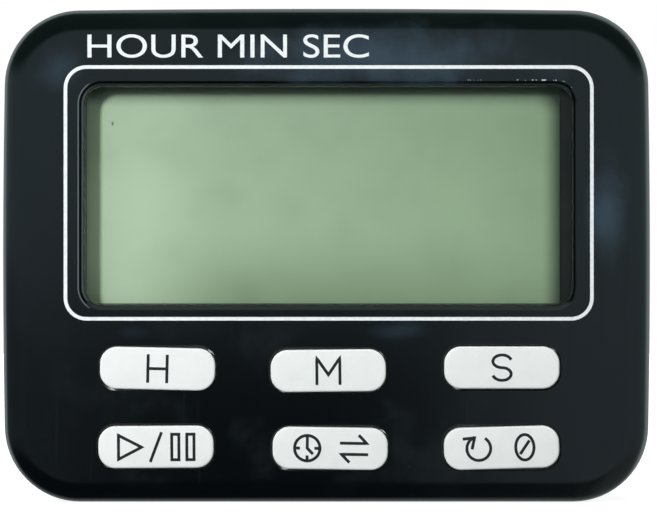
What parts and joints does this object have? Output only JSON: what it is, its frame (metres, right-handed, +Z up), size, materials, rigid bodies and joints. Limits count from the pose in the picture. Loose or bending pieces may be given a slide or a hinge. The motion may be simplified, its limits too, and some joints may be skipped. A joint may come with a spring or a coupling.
{
  "type": "digital countdown timer",
  "caption": "Upright battery countdown timer with a large display window, push buttons, a fold-out stand, magnets and a sliding battery door.",
  "frame": {"origin": "middle of the footprint, on the surface that the timer stands on", "axes": "+X to the viewer's right along the case, +Y from the face towards the back, +Z up"},
  "size_m": [0.0822, 0.0208, 0.0626],
  "materials": {
    "case_black": "glossy moulded black",
    "window_clear": "clear polished acrylic",
    "polarizer_film": "neutral film",
    "display_glass": "polished glass",
    "reflector_film": "grey-green reflective film",
    "holder_plastic": "matt moulded",
    "zebra_rubber": "striped silicone",
    "grey_silicone": "matt silicone",
    "board_laminate": "solder resist",
    "chip_epoxy": "poured epoxy",
    "nickel_plate": "nickel plated",
    "chip_capacitor": "fired ceramic",
    "chip_resistor": "coated ceramic",
    "zinc_screw": "zinc plated",
    "cell_label": "shrink label",
    "red_wire": "insulated",
    "black_wire": "insulated",
    "buzzer_brass": "rolled brass",
    "silvered_ceramic": "silvered",
    "magnet_nickel": "nickel plated",
    "button_white": "satin moulded white",
    "carbon_pill": "matt carbon"
  },
  "bodies": {
    "case": {"front_case": "case_black", "rear_case": "case_black", "window_lens": "window_clear", "lcd_front_polarizer": "polarizer_film", "lcd_front_glass": "display_glass", "lcd_rear_glass": "display_glass", "lcd_reflector": "reflector_film", "lcd_holder": "holder_plastic", "zebra_strip": "zebra_rubber", "keypad_membrane": "grey_silicone", "circuit_board": "board_laminate", "chip_blob": "chip_epoxy", "crystal_can": "nickel_plate", "capacitor_left": "chip_capacitor", "capacitor_right": "chip_capacitor", "resistor": "chip_resistor", "board_screw_left": "zinc_screw", "board_screw_right": "zinc_screw", "battery_cell": "cell_label", "battery_spring": "nickel_plate", "battery_contact_negative": "nickel_plate", "battery_contact_positive": "nickel_plate", "battery_wire_red": "red_wire", "battery_wire_black": "black_wire", "buzzer_disc": "buzzer_brass", "buzzer_ceramic": "silvered_ceramic", "buzzer_wire_red": "red_wire", "buzzer_wire_black": "black_wire", "magnet_left": "magnet_nickel", "magnet_right": "magnet_nickel", "case_screw_1": "zinc_screw", "case_screw_2": "zinc_screw", "case_screw_3": "zinc_screw", "case_screw_4": "zinc_screw"},
    "door": {"battery_door": "case_black"},
    "stand": {"stand": "case_black"},
    "hour_key": {"button_hour": "button_white", "contact_pill_hour": "carbon_pill"},
    "minute_key": {"button_minute": "button_white", "contact_pill_minute": "carbon_pill"},
    "second_key": {"button_second": "button_white", "contact_pill_second": "carbon_pill"},
    "start_stop_key": {"button_start_stop": "button_white", "contact_pill_start_stop": "carbon_pill"},
    "mode_key": {"button_mode": "button_white", "contact_pill_mode": "carbon_pill"},
    "clear_key": {"button_clear": "button_white", "contact_pill_clear": "carbon_pill"}
  },
  "joints": [
    {"name": "hour_press", "type": "slide", "parent": "case", "child": "hour_key", "axis": [0, 1, 0], "range_m": [0, 0.0008], "stiffness_N_per_m": 800, "springref_m": -0.0004, "deforming": ["keypad_membrane"]},
    {"name": "minute_press", "type": "slide", "parent": "case", "child": "minute_key", "axis": [0, 1, 0], "range_m": [0, 0.0008], "stiffness_N_per_m": 800, "springref_m": -0.0004, "deforming": ["keypad_membrane"]},
    {"name": "second_press", "type": "slide", "parent": "case", "child": "second_key", "axis": [0, 1, 0], "range_m": [0, 0.0008], "stiffness_N_per_m": 800, "springref_m": -0.0004, "deforming": ["keypad_membrane"]},
    {"name": "start_stop_press", "type": "slide", "parent": "case", "child": "start_stop_key", "axis": [0, 1, 0], "range_m": [0, 0.0008], "stiffness_N_per_m": 800, "springref_m": -0.0004, "deforming": ["keypad_membrane"]},
    {"name": "mode_press", "type": "slide", "parent": "case", "child": "mode_key", "axis": [0, 1, 0], "range_m": [0, 0.0008], "stiffness_N_per_m": 800, "springref_m": -0.0004, "deforming": ["keypad_membrane"]},
    {"name": "clear_press", "type": "slide", "parent": "case", "child": "clear_key", "axis": [0, 1, 0], "range_m": [0, 0.0008], "stiffness_N_per_m": 800, "springref_m": -0.0004, "deforming": ["keypad_membrane"]},
    {"name": "stand_fold", "type": "hinge", "parent": "case", "child": "stand", "pos_m": [0, 0.0087, 0.0295], "axis": [1, 0, 0], "range_deg": [0, 50]},
    {"name": "door_slide", "type": "slide", "parent": "case", "child": "door", "axis": [0, 0, 1], "range_m": [0, 0.012]}
  ]
}
